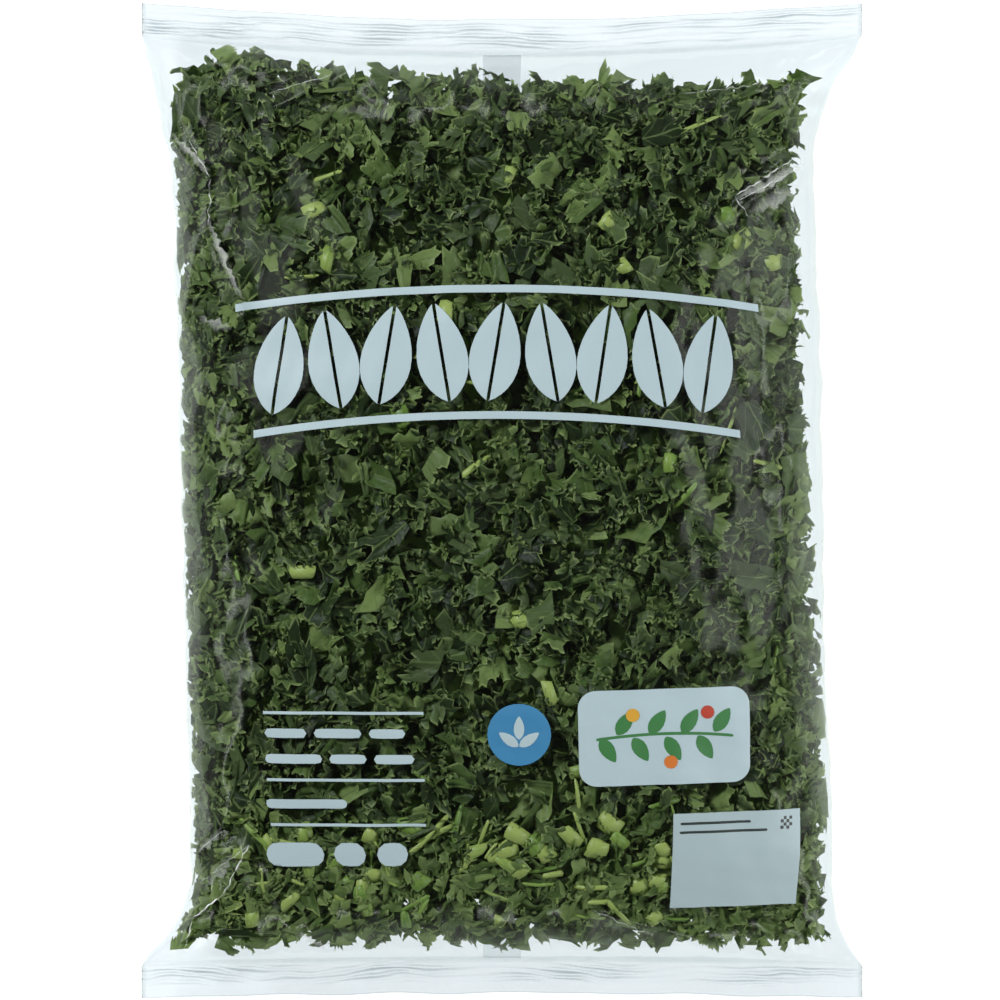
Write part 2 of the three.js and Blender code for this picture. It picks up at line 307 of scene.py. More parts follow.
def add(tree, kind, inputs=None, **settings):
    """Adds a shader node with its settings. Each input takes a value, another node's output, or a node,
    which stands for its first output."""
    node = tree.nodes.new("ShaderNode" + kind)
    for name, value in settings.items():
        setattr(node, name, value)
    for name, value in (inputs or {}).items():
        if isinstance(value, bpy.types.Node):
            value = value.outputs[0]
        if isinstance(value, bpy.types.NodeSocket):
            tree.links.new(value, node.inputs[name])
        else:
            node.inputs[name].default_value = value
    return node


def new_material(name):
    """An empty node material, with its tree."""
    material = bpy.data.materials.new(name)
    material.use_nodes = True
    material.node_tree.nodes.clear()
    return material, material.node_tree


# Biaxially oriented polypropylene film, blown and stretched: clear, with a hard gloss that grows towards
# grazing angles, a faint cool tint, and a trace of haze where it is creased.
clear_film, tree = new_material("clear_polypropylene_film")
film_wave = 16.6667
place = add(tree, "TexCoord")
waves = add(tree, "TexNoise", {
    "Vector": place.outputs["Object"], "Scale": METRE / film_wave, "Detail": 1.0})
bump = add(tree, "Bump", {"Height": waves, "Strength": 0.5, "Distance": 0.0007})
facing = add(tree, "LayerWeight", {"Blend": 0.5, "Normal": bump})
grazing = add(tree, "Math", {0: facing.outputs["Facing"], 1: 5.0}, operation="POWER")
reflects = add(tree, "Math", {0: grazing, 1: 0.7, 2: 0.042}, operation="MULTIPLY_ADD")
welded = add(tree, "Attribute", attribute_name="welded")
milky = add(tree, "Math", {0: welded.outputs["Fac"], 1: 0.75, 2: 0.25}, operation="MULTIPLY_ADD")
steep = add(tree, "Math", {0: facing.outputs["Facing"], 1: 0.3}, operation="MINIMUM")
greying = add(tree, "Math", {0: steep, 1: milky}, operation="MULTIPLY")
through = add(tree, "Mix", {
    "Factor": greying, 6: colour("#fafcfd"), 7: colour("#aebbc1")}, data_type="RGBA")
clear = add(tree, "BsdfTransparent", {"Color": through.outputs[2]})
gloss = add(tree, "BsdfPrincipled", {
    "Base Color": colour("#f2f6ee"), "Roughness": 0.14, "Metallic": 1.0, "Normal": bump})
film = add(tree, "MixShader", {"Fac": reflects, 1: clear, 2: gloss})
add(tree, "OutputMaterial", {"Surface": film})

film_points, film_body, film_weld = film_grid()
sides = tube_faces(len(film_points), film_points.shape[1])[0]
film_bag = mesh_object("film_bag_skin", film_points, sides.tolist(), clear_film)
film_bag.data.attributes.new("welded", "FLOAT", "POINT").data.foreach_set("value", film_weld.ravel())
wall = film_bag.modifiers.new("wall", "SOLIDIFY")
wall.thickness = film_thickness / METRE
wall.offset = -1
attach(film_bag, "root")
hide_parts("film_bag")


# The kale is curly kale cut into pieces of about a centimetre, loose in the bag. Most pieces keep some of
# the frilled leaf margin. Each is a thin closed blade, laid in layers under the film and turned at random.
leaf_gap, leaf_thickness = 0.6, 0.35
inner_depth = 15.9
inner_body = pillow(film_turns, film_alongs, inner_depth)
front_middle = film_body[:, front_columns // 2]
middle_steps = np.linalg.norm(np.diff(front_middle, axis=0), axis=1)
middle_run = np.concatenate([[0], np.cumsum(middle_steps)])
middle_run -= np.interp(0, film_alongs, middle_run)


def in_bag(across, run, depth):
    """The point at a place on the flat film and a depth under it. Across is measured round the film from
    the middle of the front, and run along it from the middle of its length. The film's grid and one nested
    in it are each read between their four nearest points, and mixed by the depth."""
    turn = (0.5 + across / (2 * seal_width) - 0.25) % 1 + 0.25
    columns = len(film_turns)
    column = np.interp(turn, np.append(film_turns, 1.25), np.arange(columns + 1))
    row = np.interp(run, middle_run, np.arange(body_rows))
    c, r = np.floor(column).astype(int), np.clip(np.floor(row).astype(int), 0, body_rows - 2)
    s, t = (column - c)[..., None], (row - r)[..., None]
    c0, c1 = c % columns, (c + 1) % columns
    outer, inner = (mix(mix(g[r, c0], g[r, c1], s), mix(g[r + 1, c0], g[r + 1, c1], s), t)
                    for g in (film_body, inner_body))
    return mix(outer, inner, depth[..., None] / inner_depth)


def pressed(excess, softness=0.35):
    """How far to push back a point that stands out by an excess: softness times the log of one more than e
    to the excess over the softness."""
    return softness * np.logaddexp(0, excess / softness)


def blades(rng, count, rows, columns, length, width, ruffle, ruffle_length, tooth, roll):
    """The middle surfaces of cut leaf pieces, with rows from the cut root (v 0) to the margin (v 1) and
    columns across (u -1 to 1). Across is u times a half width that changes with v. Up is v times the
    length, with slanted cuts, and lobes and teeth that grow as v squared. Out is a fold at the middle vein,
    an arch, a twist, a roll of the margin as v squared and two slanted waves of crumpling. The ruffle grows
    as v squared: its phase runs unevenly along u, and it moves the margin out by the phase's sine, up by
    its cosine, and back on itself by the sine of twice the phase."""
    u = np.linspace(-1, 1, columns)[None, None, :]
    v = np.linspace(0, 1, rows)[None, :, None] ** 0.75
    pick = lambda low, high: rng.uniform(low, high, (count, 1, 1))
    wave = lambda low, high: np.sin(np.pi * pick(low, high) * u + pick(0, 6.3))
    long, wide = pick(*length) * pick(0.85, 1.15) ** 2, pick(*width) / 2
    half = wide * mix(pick(0.55, 1.1), 1, v)
    lobes = 0.14 * wave(0.7, 1.6) + 0.1 * wave(1.8, 3.2)
    zigzag = rng.uniform(-1, 1, (count, 1, columns)) + 0.7 * (-1.0) ** np.arange(columns)
    phase = 2 * np.pi * wide * u / pick(*ruffle_length) + pick(0, 6.3) + 0.9 * wave(0.5, 1.4)
    swell = ruffle * pick(0.5, 1.1) * (0.75 + 0.35 * wave(0.6, 1.5)) * v**2
    across = u * half + pick(-0.4, 0.4) * long * v - 0.45 * swell * np.sin(2 * phase)
    across = across + tooth * rng.uniform(-1.5, 1.5, (count, rows, 1)) * u
    up = (v - 0.5) * long + v**2 * (lobes * long + tooth * zigzag) + 0.4 * swell * np.cos(phase)
    slanted_cuts = u * half * mix(pick(-0.5, 0.5), pick(-0.5, 0.5), v)
    up += slanted_cuts - np.abs(u - pick(-0.5, 0.5)) * pick(-1, 2.5) * v
    out = half * (pick(-0.7, 0.7) * np.abs(u) + pick(-0.5, 0.5) * u**2 + pick(-0.5, 0.5) * u * (v - 0.5))
    out = out + pick(-roll, roll) * long * v**2 + swell * np.sin(phase) + 0.25 * tooth * zigzag * v**2
    for _ in range(2):
        slant, crumple_length = pick(0, 2 * np.pi), pick(3.5, 8)
        crumple = np.sin(2 * np.pi * (u * half * np.cos(slant) + v * long * np.sin(slant)) / crumple_length)
        out = out + pick(0.2, 0.6) * crumple * (0.3 + 0.7 * v)
    local = np.stack(np.broadcast_arrays(across, up, out), -1)
    beside_vein = u * half - pick(-0.4, 0.4) * wide
    pattern = np.stack(np.broadcast_arrays(beside_vein, v * long, (1 - v) * long), -1)
    return local, pattern


def turned(x, y, angle):
    """A point turned about the origin by an angle, through its cosine and sine."""
    return x * np.cos(angle) - y * np.sin(angle), x * np.sin(angle) + y * np.cos(angle)


def tipped(rng, local, tilt, rise=0.0):
    """Blades tipped about two axes by random angles up to a tilt, the margin raised by a further angle, and
    then turned to a random heading."""
    count = len(local)
    pick = lambda most: (rng.uniform(-1, 1, count) * most).reshape(count, 1, 1)
    a, b, heading = pick(tilt) + rise, pick(tilt), pick(np.pi)
    x, y, z = np.moveaxis(local, -1, 0)
    y, z = turned(y, z, a)
    z, x = turned(z, x, b)
    x, y = turned(x, y, heading)
    return x[..., None], y[..., None], z[..., None]


def laid(rng, local, across, run, depth, tilt, rise=0.0, gap=leaf_gap):
    """Places blades along the film: each is tipped and turned, and set square to the film at its place and
    depth. A point nearer than the gap to the film above it is pushed back into the bag."""
    x, y, z = tipped(rng, local, tilt, rise)
    beside = in_bag(across + 1, run, depth) - in_bag(across - 1, run, depth)
    ahead = in_bag(across, run + 1, depth) - in_bag(across, run - 1, depth)
    beside, ahead, out = (v / np.linalg.norm(v, axis=-1, keepdims=True)
                          for v in (beside, ahead, np.cross(beside, ahead)))
    middle = in_bag(across, run, depth)
    middle, beside, ahead, out = (v[:, None, None] for v in (middle, beside, ahead, out))
    placed = middle + x * beside + y * ahead + z * out
    flat = [np.reshape(a, (-1, 1, 1)) + b[..., 0] for a, b in ((across, x), (run, y))]
    limit = in_bag(*flat, np.full(flat[0].shape, gap))
    return placed - pressed(((placed - limit) * out).sum(-1, keepdims=True)) * out


def pillow_width(side, y, z):
    """How far the plain pillow reaches to one side at a place along it and a height: the superellipse of
    the section there, solved for its width."""
    fill = np.sqrt(np.clip(1 - np.abs(y / seal_inner) ** 3, 0.01, 1))
    above = z > seal_level
    power = np.where(above, front_roundness, back_roundness)
    share = np.abs(z - seal_level) / (np.where(above, front_rise, back_drop) * fill)
    return side_reach(y, side) * (1 - np.clip(share, 0, 0.99) ** power) ** (1 / power)


def laid_level(rng, local, across, run, depth, tilt, gap):
    """Places blades that face the sky, where the film is too steep for that: each is tipped from level and
    turned, put with its middle at its place and depth, and pushed back to a gap from the film."""
    placed = in_bag(across, run, depth)[:, None, None] + np.concatenate(tipped(rng, local, tilt), -1)
    x, y, z = np.moveaxis(placed, -1, 0)
    side = np.sign(x)
    x -= side * pressed(np.abs(x) - pillow_width(side, y, z) + gap)
    return placed


def two_faced(middle, thickness):
    """Closed blades from middle surfaces: an upper and a lower face half a thickness to either side, which
    meet along the rim. Gives the points, the faces, which points are on the rim, which faces are lower, and
    the place in the grid that each point of a blade came from."""
    count, rows, columns = middle.shape[:3]
    normal = outward(middle)
    inside = np.zeros((rows, columns), bool)
    inside[1:-1, 1:-1] = True
    lift = normal * (thickness / 2) * inside[None, ..., None]
    upper = (middle + lift).reshape(count, -1, 3)
    lower = (middle - lift)[:, inside]
    points = np.concatenate([upper, lower], 1)
    ids = np.arange(rows * columns).reshape(rows, columns)
    under = ids.copy()
    under[inside] = rows * columns + np.arange(inside.sum())
    squares = lambda g: np.stack([g[:-1, :-1], g[:-1, 1:], g[1:, 1:], g[1:, :-1]], -1).reshape(-1, 4)
    one = np.concatenate([squares(ids), squares(under)[:, ::-1]])
    faces = (one[None] + np.arange(count)[:, None, None] * points.shape[1]).reshape(-1, 4)
    is_lower = np.tile(np.arange(len(one)) >= len(one) // 2, count)
    rim = np.tile(np.concatenate([~inside.ravel(), np.zeros(inside.sum(), bool)]), count)
    order = np.concatenate([np.arange(rows * columns), ids[inside]])
    return points.reshape(-1, 3), faces, rim, is_lower, order


def harden(mesh, rim):
    """Marks as sharp the edges with both ends on the rim, so that the shading breaks there."""
    edges = np.empty(2 * len(mesh.edges), np.int32)
    mesh.edges.foreach_get("vertices", edges)
    hard = rim[edges.reshape(-1, 2)].all(1)
    mesh.attributes.new("sharp_edge", "BOOLEAN", "EDGE").data.foreach_set("value", hard)


def add_blades(name, rng, middle, pattern, thickness, tint, material):
    """A mesh of closed blades, with hard rims. Its points carry their place on the blade in millimetres,
    and its faces the blade's tint, a random number and whether they are the paler underside."""
    points, faces, rim, is_lower, order = two_faced(middle, thickness)
    piece = mesh_object(name, points, faces.tolist(), material)
    mesh = piece.data
    count = len(middle)
    on_blade = pattern.reshape(count, -1, 3)[:, order].reshape(-1, 3)
    mesh.attributes.new("on_blade", "FLOAT_VECTOR", "POINT").data.foreach_set("vector", on_blade.ravel())
    each = len(faces) // count
    flipped = np.repeat(rng.random(count) < 0.35, each)
    kinds = np.stack([np.repeat(tint, each), np.repeat(rng.random(count), each), is_lower ^ flipped], -1)
    mesh.attributes.new("blade_kind", "FLOAT_VECTOR", "FACE").data.foreach_set("vector", kinds.ravel())
    harden(mesh, rim)
    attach(piece, "root")
    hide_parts("chopped_kale")
    return piece


# Kale leaf: a thick waxy cuticle over crinkled flesh, dark green above and greyer below, with pale sunk
# veins. Along the frilled margin a bright yellow-green line is painted: partly the thin margin's own paler
# colour, partly a painted highlight for the light that the margins catch.
kale_leaf, tree = new_material("waxy_curly_kale_leaf")
blotch_size, vein_spacing, crinkle_size = 3.84615, 2.6, 1.42857
on_blade = add(tree, "Attribute", attribute_name="on_blade").outputs["Vector"]
kind = add(tree, "Attribute", attribute_name="blade_kind").outputs["Vector"]
from_vein, from_root, from_rim = add(tree, "SeparateXYZ", {0: on_blade}).outputs
blade_tint, chance, is_under = add(tree, "SeparateXYZ", {0: kind}).outputs
place = add(tree, "TexCoord")
blotches = add(tree, "TexNoise", {
    "Vector": place.outputs["Object"], "Scale": METRE / blotch_size, "Detail": 3.0})
tone = add(tree, "Math", {0: blotches, 1: 0.5, 2: blade_tint}, operation="MULTIPLY_ADD")
upper_green = add(tree, "ValToRGB", {"Fac": tone})
ramp = upper_green.color_ramp
ramp.elements[0].position, ramp.elements[0].color = 0.15, colour("#1f2a14")
ramp.elements[1].position, ramp.elements[1].color = 1.0, colour("#a3b96e")
ramp.elements.new(0.45).color = colour("#3b4d2a")
ramp.elements.new(0.75).color = colour("#6c8746")
part_lower = add(tree, "Math", {0: is_under, 1: 0.6}, operation="MULTIPLY")
lower_green = add(tree, "Mix", {
    "Factor": part_lower, 6: upper_green, 7: colour("#788c58")}, data_type="RGBA")
beside = add(tree, "Math", {0: from_vein}, operation="ABSOLUTE")
slanted = add(tree, "Math", {0: from_root, 1: -0.7, 2: beside}, operation="MULTIPLY_ADD")
vein_step = add(tree, "Math", {0: slanted, 1: vein_spacing}, operation="PINGPONG")
side_vein = add(tree, "MapRange", {
    "Value": vein_step, "From Min": 0.05, "From Max": 0.3, "To Min": 0.55, "To Max": 0.0})
mid_vein = add(tree, "MapRange", {
    "Value": beside, "From Min": 0.12, "From Max": 0.4, "To Min": 0.9, "To Max": 0.0})
veins = add(tree, "Math", {0: side_vein, 1: mid_vein}, operation="MAXIMUM")
veined = add(tree, "Mix", {
    "Factor": veins, 6: lower_green.outputs[2], 7: colour("#8a9f62")}, data_type="RGBA")
# A bright line along the margin of some pieces: the thin margin's paler colour and a painted highlight.
near_rim = add(tree, "MapRange", {
    "Value": from_rim, "From Min": 0.15, "From Max": 0.95, "To Min": 1.0, "To Max": 0.0})
rim_highlight_strength = add(tree, "Math", {0: chance, 1: 0.5, 2: 0.42}, operation="MULTIPLY_ADD")
rim_highlight_mask = add(tree, "Math", {0: near_rim, 1: rim_highlight_strength}, operation="MULTIPLY")
rim_highlighted = add(tree, "Mix", {
    "Factor": rim_highlight_mask, 6: veined.outputs[2], 7: colour("#c0d488")}, data_type="RGBA")
crinkle = add(tree, "TexVoronoi", {
    "Vector": place.outputs["Object"], "Scale": METRE / crinkle_size}, feature="SMOOTH_F1")
bump = add(tree, "Bump", {"Height": crinkle, "Strength": 0.5, "Distance": 0.0004})
waxy = add(tree, "BsdfPrincipled", {
    "Base Color": rim_highlighted.outputs[2], "Roughness": 0.45, "Specular IOR Level": 0.3, "Normal": bump})
glow = add(tree, "Mix", {
    "Factor": 0.5, 6: rim_highlighted.outputs[2], 7: colour("#a4c840")}, data_type="RGBA")
lit_through = add(tree, "BsdfTranslucent", {"Color": glow.outputs[2], "Normal": bump})
leaf = add(tree, "MixShader", {"Fac": 0.38, 1: waxy, 2: lit_through})
add(tree, "OutputMaterial", {"Surface": leaf})


kale_low, kale_high_left, kale_high_right = -158.0, 161.0, 149.0


def spread(rng, layer_count, middle_across, half_across, high_run, spacing):
    """Places for a number of layers: a grid of squares of a spacing, with a place at random in each."""
    across_count = round(2 * half_across / spacing)
    run_count = round((high_run - kale_low) / spacing)
    grid = np.indices((across_count, run_count)).reshape(2, -1)
    i, j = np.concatenate([grid + rng.uniform(-0.1, 1.1, grid.shape) for _ in range(layer_count)], 1)
    across = middle_across - half_across + 2 * half_across * i / across_count
    return across, mix(kale_low, high_run, j / run_count)


def kale_reach(x, y):
    """How far the kale lies from the middle: close to the film at the left, and clear of it at the right,
    by more towards the top, where the bag is slack. The gaps change smoothly along the bag, and the right
    side has a limit besides."""
    left = side_reach(y, -1.0) - mix(1.4, 9.0, smooth((y - 115) / 35))
    right = side_reach(y, 1.0) - mix(4.0, 7.5, smooth((y + 60) / 60))
    return np.where(x < 0, left, np.minimum(right, np.where(y > 60, 105.0, 120.0)))


# The layers of each face: the middle and half width of its band round the film, the spacing of its places,
# the depths of its layers, and how far from the middle of the bag's length they start.
rng = np.random.default_rng(7)
layers = {
    "front": (0.0, 123.0, 9.2, [1.8, 3.0, 4.6, 6.6, 9.4], 0.0),
    "front_ends": (0.0, 116.0, 8.5, [3.5, 6.0], 122.0),
    "back": (250.0, 114.0, 11.5, [1.6, 3.8, 7.0], 0.0),
    "back_ends": (250.0, 112.0, 9.5, [3.0, 5.0], 122.0),
}

# The kinds of leaf piece. Each has the draw up to which a place gets it; its rows, columns, length, width,
# ruffle, ruffle length, teeth and roll; how far its margin is raised; and how much deeper it is laid.
leaf_kinds = {
    "frill": (0.48, (3, 19, (3.0, 5.5), (7, 12), 1.7, (2.3, 4.0), 0.6, 0.5), 1.0, 0.0),
    "frilled": (0.74, (4, 15, (5, 9.5), (7, 12), 1.7, (2.6, 4.6), 0.7, 0.6), 0.2, 0.9),
    "lobed": (0.87, (5, 9, (9, 14), (8, 13), 1.2, (4.5, 8), 0.9, 0.45), 0.1, 0.9),
    "cut": (1.0, (5, 7, (6, 11), (5, 11), 0.6, (6, 12), 0.3, 0.5), 0.0, 0.9),
}

# Where the heap is low, the layers down to a depth are missing, but not in the bands at its sides and ends.
# The leaves are mostly dark, and paler where the heap is high and towards the foot. In the side bands they
# are painted paler, most at the right: painted light for the sides, where more light reaches the kale.
low_heap, low_heap_depth = -0.5, 3.4
side_band, end_band = 92.0, 135.0
for face, (middle_across, half_across, spacing, depths, least_run) in layers.items():
    across, run = spread(rng, len(depths), middle_across, half_across, kale_high_left, spacing)
    depth = np.repeat(depths, len(across) // len(depths)) + rng.uniform(-0.7, 0.9, len(across))
    x, y = in_bag(across, run, depth)[:, :2].T
    kale_high = mix(kale_high_left, kale_high_right, (x + 110) / 220) - 5 + 4 * ripples(rng, x, 0, 18, 60)
    heaped = ripples(np.random.default_rng(23), across, run, 16, 50)
    in_bands = (np.abs(x) > side_band) | (np.abs(run) > end_band)
    kept = (np.abs(x) < kale_reach(x, y)) & (run < kale_high) & (np.abs(run) > least_run)
    kept &= (depth > low_heap_depth) | (heaped > low_heap) | in_bands
    across, run, depth, x = across[kept], run[kept], depth[kept], x[kept]
    tint = rng.beta(0.7, 2.2, len(depth)) * 1.3 - 0.02 + 0.07 * heaped[kept]
    tint += 0.46 * smooth((-run - 90) / 45)
    # Painted light: the pieces in the side bands are made paler, more at the right, for the light that
    # reaches the sides.
    tint += np.where(x < 0, 0.12, 0.3) * smooth((np.abs(x) - side_band) / 14)
    near_edge = np.maximum(smooth((np.abs(x) - 80) / 20), smooth((np.abs(run) - 120) / 20))
    draw = rng.random(len(depth)) * (1 - 0.12 * near_edge - 0.16 * smooth((np.abs(run) - end_band) / 15))
    tilt = 0.45 + 0.08 * depth.clip(0, 6)
    least = 0.0
    for name, (most, form, rise, deeper) in leaf_kinds.items():
        picked = np.flatnonzero((draw >= least) & (draw < most))
        least = most
        parts = 2 if face == "front" and name != "cut" else 1
        for part, some in enumerate(np.array_split(picked, parts), 1):
            local, pattern = blades(rng, len(some), *form)
            raised = rise * (1 - 0.6 * near_edge[some]).reshape(-1, 1, 1)
            middle = laid(rng, local, across[some], run[some], depth[some] + deeper, tilt[some], raised)
            piece = add_blades(f"kale_{name}_{face}_{part}", rng, middle, pattern, leaf_thickness, tint[some],
                               kale_leaf)

# Frills that face the sky, down both sides of the heap. The right side is slacker, and more see-through.
for side, side_name in ((-1, "left"), (1, "right")):
    across, run = spread(rng, 3, side * 115, 19.0, kale_high_right, 6.0)
    depth = rng.uniform(3.4, 8.0, len(across))
    x, y = in_bag(across, run, depth)[:, :2].T
    kept = np.abs(x) < kale_reach(x, y) - (1.5 if side < 0 else 2.5)
    across, run, depth = across[kept], run[kept], depth[kept]
    local, pattern = blades(rng, len(across), 3, 17, (3.0, 5.0), (5.0, 8.5), 1.4, (2.3, 3.8), 0.6, 0.4)
    middle = laid_level(rng, local, across, run, depth, 0.6, 1.2)
    # Painted light: the right frills are made paler than the left ones, for the light that reaches that side.
    tint = rng.beta(0.9, 1.8, len(across)) * 1.2 + (0.06 if side < 0 else 0.2)
    piece = add_blades(f"kale_frill_{side_name}", rng, middle, pattern, leaf_thickness, tint, kale_leaf)

# The heap's inside, where the pieces lie too close to tell apart: a crumpled closed form under them. It has
# no blade tint, so it takes the leaf's darkest greens: painted shade for the depths of the heap.
core_columns, core_rows, core_reach, core_depth = 120, 70, 0.93, 12.5
core_turns = np.arange(core_columns) / core_columns + 0.25
core_alongs = core_reach * np.sin(np.linspace(-1, 1, core_rows) * np.pi / 2)
core = pillow(core_turns, core_alongs, core_depth)
core += outward(core) * (1.3 * ripples(rng, core[..., 0], core[..., 1], 5, 14))[..., None]
sides, ends = tube_faces(*core.shape[:2])
kale_core_painted_dark = mesh_object("kale_inside_painted_shade", core, sides.tolist() + ends, kale_leaf)
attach(kale_core_painted_dark, "root")
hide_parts("chopped_kale")


# Pieces of the leaf stalk and the thick midribs, cut across, are paler and heavier than the leaf. Most have
# settled at the bottom end. The stalk pieces are blocks, and the midribs narrow strips.
corner_round = 0.42


def blocks(rng, count, length, width):
    """The middle surfaces of cut blocks: an oblong drawn part of the way to a disc, where each way shrinks
    with the root of one less half the square of the other, then skewed, tapered and arched across."""
    station = np.array([-1.0, -0.85, 0.0, 0.85, 1.0])
    u, v = station[None, None, :], station[None, :, None]
    pick = lambda low, high: rng.uniform(low, high, (count, 1, 1))
    long, wide = pick(*length) / 2, pick(*width) / 2
    across = u * wide * mix(1, np.sqrt(1 - v**2 / 2), corner_round) * (1 + pick(-0.2, 0.2) * v)
    up = v * long * mix(1, np.sqrt(1 - u**2 / 2), corner_round) * (1 + pick(-0.2, 0.2) * u)
    across, up = across + pick(-0.2, 0.2) * long * v, up + pick(-0.25, 0.25) * wide * u
    out = pick(-0.6, -0.1) * wide * u**2 + pick(-0.25, 0.1) * long * v**2
    local = np.stack(np.broadcast_arrays(across, up, out), -1)
    return local, np.stack(np.broadcast_arrays(u * wide, v * long, 0 * u * v), -1)


# Cut stalk: juicy pale green flesh with fine fibres along it, and the soft gloss of a damp cut.
kale_stem, tree = new_material("cut_kale_stalk")
fibre_width, fibre_length = 0.625, 5.5556
on_blade = add(tree, "Attribute", attribute_name="on_blade").outputs["Vector"]
kind = add(tree, "Attribute", attribute_name="blade_kind").outputs["Vector"]
blade_tint = add(tree, "SeparateXYZ", {0: kind})
along_grain = add(tree, "Mapping", {
    "Vector": on_blade, "Scale": (1 / fibre_width, 1 / fibre_length, 1.0)})
grain = add(tree, "TexNoise", {"Vector": along_grain, "Scale": 1.0, "Detail": 3.0})
tone = add(tree, "Math", {0: grain, 1: 0.8, 2: blade_tint}, operation="MULTIPLY_ADD")
flesh = add(tree, "ValToRGB", {"Fac": tone})
flesh.color_ramp.elements[0].position, flesh.color_ramp.elements[0].color = 0.3, colour("#5f8433")
flesh.color_ramp.elements[1].position, flesh.color_ramp.elements[1].color = 1.0, colour("#b6c86c")
flesh.color_ramp.elements.new(0.65).color = colour("#8cac4e")
bump = add(tree, "Bump", {"Height": grain, "Strength": 0.4, "Distance": 0.0003})
stalk = add(tree, "BsdfPrincipled", {
    "Base Color": flesh, "Roughness": 0.42, "Specular IOR Level": 0.5, "Normal": bump})
add(tree, "OutputMaterial", {"Surface": stalk})

# Each kind's count, length, width, thickness, depths and tilt.
rng = np.random.default_rng(31)
stems = {
    "stalk_blocks": (100, (5, 9.5), (3.6, 6.8), 2.2, (1.3, 2.3), 0.4),
    "midrib_strips": (110, (7, 17), (1.0, 2.0), 1.0, (0.8, 4.0), 0.35),
}
for name, (count, length, width, thickness, depths, tilt) in stems.items():
    local, pattern = blocks(rng, count, length, width)
    low_down = rng.random(count) < 0.66
    turned_over = rng.random(count) < 0.3
    across = rng.uniform(-98, 98, count) + np.where(turned_over, 250, 0)
    run = np.where(low_down, rng.uniform(-150, -112, count), rng.uniform(-140, 132, count))
    middle = laid(rng, local, across, run, rng.uniform(*depths, count), np.full(count, tilt),
                  gap=leaf_gap + thickness / 2)
    piece = add_blades(f"kale_{name}", rng, middle, pattern, thickness, rng.random(count), kale_stem)


# The fin seal joins the sheet's two long edges down the middle of the back. The edges are laid face to
# face, welded between ribbed wheels and folded flat to one side, so the strip is two films thick.
fin_thickness = 0.2
fin_above_film = 0.24
fin_rib_pitch, fin_rib_height = 1.6, 0.05
fin_columns, fin_rows = 49, 340
fin_across, fin_run = np.meshgrid(np.linspace(-fin_half_width, fin_half_width, fin_columns),
                                  np.linspace(middle_run[1], middle_run[-2], fin_rows))
fin_depth = fin_rib_height * np.sin(2 * np.pi * fin_across / fin_rib_pitch) - fin_above_film
fin_middle = in_bag(fin_across + seal_width, fin_run, fin_depth)[None]
fin_points, fin_faces, *_ = two_faced(fin_middle, fin_thickness)
fin_seal = mesh_object("film_fin_seal", fin_points, fin_faces.tolist(), clear_film)
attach(fin_seal, "root")
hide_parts("film_bag")


# Along the film's folds, fine white lines and, beside some of them, hazy bands: painted highlights and
# painted reflections of the light tent on the folds, laid on the film as partly opaque white strips. Each has
# its two ends on the front, its half width and how opaque it is.
fold_highlight_lines = [
    ((-86.4, -117.6), (-91.4, -127.1), 0.35, 0.9), ((-91.4, -127.1), (-95.4, -135.1), 0.3, 0.9),
    ((-95.4, -135.1), (-106.5, -143.7), 0.35, 0.8), ((-106.5, -143.7), (-109.5, -153.7), 0.25, 0.8),
    ((-86.4, -117.6), (-104, -132), 0.2, 0.6), ((-95, -113), (-105, -121), 0.2, 0.6),
    ((-92, -120), (-103, -134), 2.6, 0.2), ((-96, -112.6), (-105.5, -121.5), 2.0, 0.2),
    ((101.5, 118.5), (78.5, 103.5), 0.3, 0.7), ((104.0, 115.5), (80.5, 102.0), 0.25, 0.6),
    ((78.5, 103.5), (84.0, 96.5), 0.2, 0.5), ((104.0, 116.5), (79.0, 102.5), 2.2, 0.35),
    ((102.0, 108.0), (84.0, 99.0), 3.2, 0.2), ((-108, 124.0), (-99.5, 110.0), 0.2, 0.6),
    ((-99.5, 110.0), (-100.5, 93.0), 0.2, 0.5), ((-101, 96.5), (-88.6, 68.0), 2.0, 0.3),
    ((-114, 126.0), (-100, 112.0), 1.8, 0.25), ((-104, 62.0), (-92, 58.0), 2.6, 0.2),
    ((-70, -148.5), (-60.5, -154.5), 1.8, 0.35), ((31.0, -140), (52.0, -149), 0.2, 0.5),
    ((-80, 139.0), (-58, 146.0), 0.2, 0.5), ((62.0, 139.0), (92.0, 143.0), 0.2, 0.5),
]


def on_front(x, y):
    """The place on the flat film of points of the front, given as seen from above: first the column by its
    reach in the row that is nearest on the middle line, then the row by its height in that column."""
    row = np.clip(np.searchsorted(front_middle[:, 1], y), 1, body_rows - 1)
    column = np.clip((film_body[row, :front_columns, 0] < x[:, None]).sum(-1), 1, front_columns - 1)
    before, after = film_body[row, column - 1, 0], film_body[row, column, 0]
    turn = mix(film_turns[column - 1], film_turns[column], (x - before) / (after - before))
    row = np.clip((film_body[:, column, 1] < y).sum(0), 1, body_rows - 1)
    before, after = film_body[row - 1, column, 1], film_body[row, column, 1]
    run = mix(middle_run[row - 1], middle_run[row], (y - before) / (after - before))
    return (turn - 0.5) * 2 * seal_width, run


